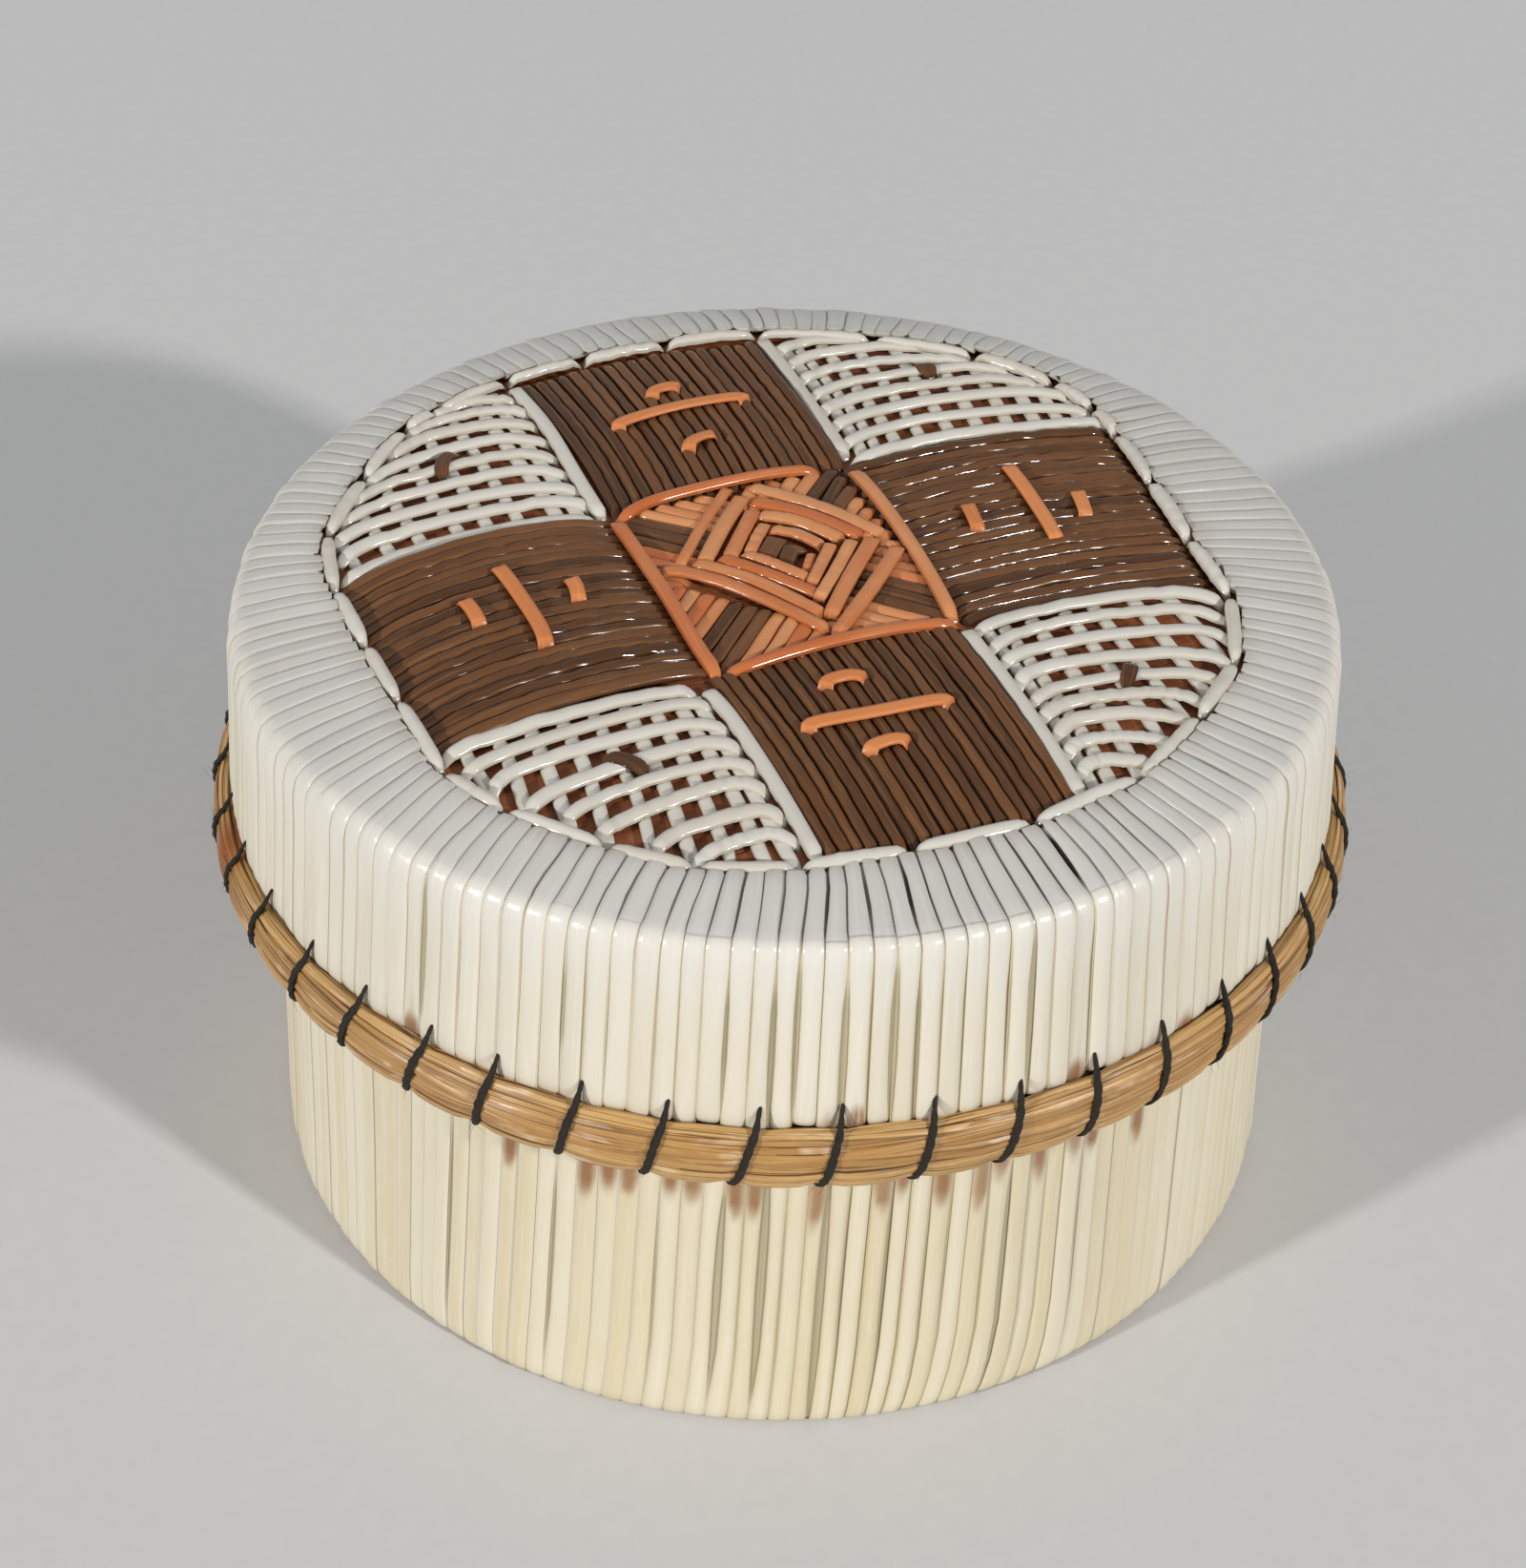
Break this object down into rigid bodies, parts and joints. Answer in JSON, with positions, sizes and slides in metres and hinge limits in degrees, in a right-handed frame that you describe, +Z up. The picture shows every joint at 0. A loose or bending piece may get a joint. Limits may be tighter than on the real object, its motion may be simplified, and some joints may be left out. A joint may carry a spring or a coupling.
{
  "type": "quill box",
  "caption": "Round birch-bark box covered in quills, with a lift-off lid that has a dyed geometric design and a whipped sweetgrass edge.",
  "frame": {"origin": "middle of the underside, on the table", "axes": "+Z up, along which the lid lifts off; +X and +Y along the arms of the cross on the lid, -Y towards the front"},
  "size_m": [0.1156, 0.1157, 0.0661],
  "materials": {
    "bark": "bare birch bark, inner side out, reddish brown",
    "lining": "thin pale bark lining",
    "white_quill": "natural quill, ivory, satin to glossy",
    "brown_quill": "quill dyed dark brown, glossy",
    "orange_quill": "quill dyed orange, glossy",
    "sweetgrass": "dried sweetgrass blades, straw brown, satin",
    "thread": "black cotton thread, matt"
  },
  "bodies": {
    "base": {"base_wall": "bark", "base_bottom_disc": "bark", "base_bottom_lining": "lining", "base_lining": "lining", "base_side_quills": "white_quill"},
    "lid": {"lid_top_disc": "bark", "lid_top_lining": "lining", "lid_wall": "bark", "lid_lining": "lining", "lid_rim_quills": "white_quill", "sweetgrass_bundle": "sweetgrass", "whipping_thread": "thread", "scallop_ring": "white_quill", "arm_back": "brown_quill", "bar_back": "orange_quill", "inner_dash_back": "orange_quill", "outer_dash_back": "orange_quill", "arm_front": "brown_quill", "bar_front": "orange_quill", "inner_dash_front": "orange_quill", "outer_dash_front": "orange_quill", "arm_left": "brown_quill", "bar_left": "orange_quill", "inner_dash_left": "orange_quill", "outer_dash_left": "orange_quill", "arm_right": "brown_quill", "bar_right": "orange_quill", "inner_dash_right": "orange_quill", "outer_dash_right": "orange_quill", "border_back_left": "white_quill", "lattice_back_left": "white_quill", "lattice_stitch_back_left": "brown_quill", "border_back_right": "white_quill", "lattice_back_right": "white_quill", "lattice_stitch_back_right": "brown_quill", "border_front_left": "white_quill", "lattice_front_left": "white_quill", "lattice_stitch_front_left": "brown_quill", "border_front_right": "white_quill", "lattice_front_right": "white_quill", "lattice_stitch_front_right": "brown_quill", "square_border_1": "orange_quill", "corner_fan_1": "orange_quill", "square_border_2": "orange_quill", "corner_fan_2": "orange_quill", "square_border_3": "orange_quill", "corner_fan_3": "orange_quill", "square_border_4": "orange_quill", "corner_fan_4": "orange_quill", "diamond_ring_1": "orange_quill", "diamond_ring_2": "orange_quill", "diamond_ring_3": "orange_quill", "diamond_ring_4": "orange_quill", "diamond_ring_5": "orange_quill", "diamond_core": "brown_quill"}
  },
  "joints": [
    {"name": "lid_lift", "type": "slide", "parent": "base", "child": "lid", "axis": [0, 0, 1], "range_m": [0, 0.06]}
  ]
}
